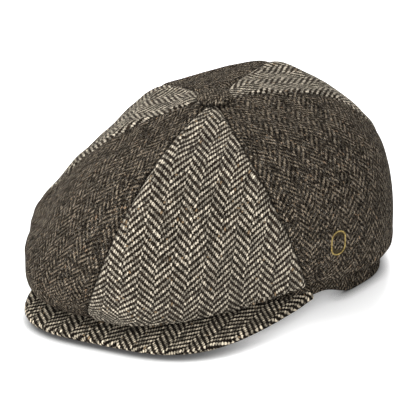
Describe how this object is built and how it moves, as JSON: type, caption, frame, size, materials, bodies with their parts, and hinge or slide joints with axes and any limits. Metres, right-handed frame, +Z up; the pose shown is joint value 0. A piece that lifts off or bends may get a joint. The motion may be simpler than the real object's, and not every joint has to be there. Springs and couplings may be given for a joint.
{
  "type": "newsboy cap",
  "caption": "Soft newsboy cap of alternating light and dark herringbone panels, with a stiff visor, a covered top button and a small pinned badge on one side.",
  "frame": {"origin": "middle of the head opening, on the plane that the band rests on", "axes": "-Y to the front, over the visor; +X to the wearer's left; +Z up"},
  "size_m": [0.231, 0.2754, 0.1353],
  "materials": {
    "tweed_light": "cream and dark brown herringbone wool",
    "tweed_dark": "brown and charcoal herringbone wool",
    "lining_cloth": "satin lining",
    "canvas": "stiff canvas",
    "sweat_cloth": "twill tape",
    "label_dark": "woven damask, blank",
    "label_pale": "satin tape, blank",
    "board": "matte",
    "shell_metal": "pressed",
    "nylon": "matte",
    "brass": "antique",
    "enamel": "gloss enamel"
  },
  "bodies": {
    "cap": {"panel_front_left": "tweed_light", "panel_side_left": "tweed_dark", "panel_back_left": "tweed_light", "panel_back_right": "tweed_dark", "panel_side_right": "tweed_light", "panel_front_right": "tweed_dark", "lining_front_left": "lining_cloth", "lining_side_left": "lining_cloth", "lining_back_left": "lining_cloth", "lining_back_right": "lining_cloth", "lining_side_right": "lining_cloth", "lining_front_right": "lining_cloth", "band": "tweed_dark", "band_stiffener": "canvas", "sweatband": "sweat_cloth", "woven_label": "label_dark", "size_tab": "label_pale", "visor_top": "tweed_light", "visor_board": "board", "visor_under": "tweed_dark", "button_cover": "tweed_dark", "button_shell": "shell_metal", "button_back": "nylon", "button_anchor": "nylon"},
    "badge": {"badge_plate": "brass", "badge_enamel": "enamel", "badge_post": "brass"},
    "clutch": {"badge_clutch": "brass"}
  },
  "joints": [
    {"name": "badge_turn", "type": "hinge", "parent": "cap", "child": "badge", "pos_m": [0.09557, -0.04031, 0.05223], "axis": [0.8995, -0.4349, -0.042], "continuous": true},
    {"name": "clutch_pull", "type": "slide", "parent": "badge", "child": "clutch", "axis": [-0.8995, 0.4349, 0.042], "range_m": [0, 0.008]}
  ]
}
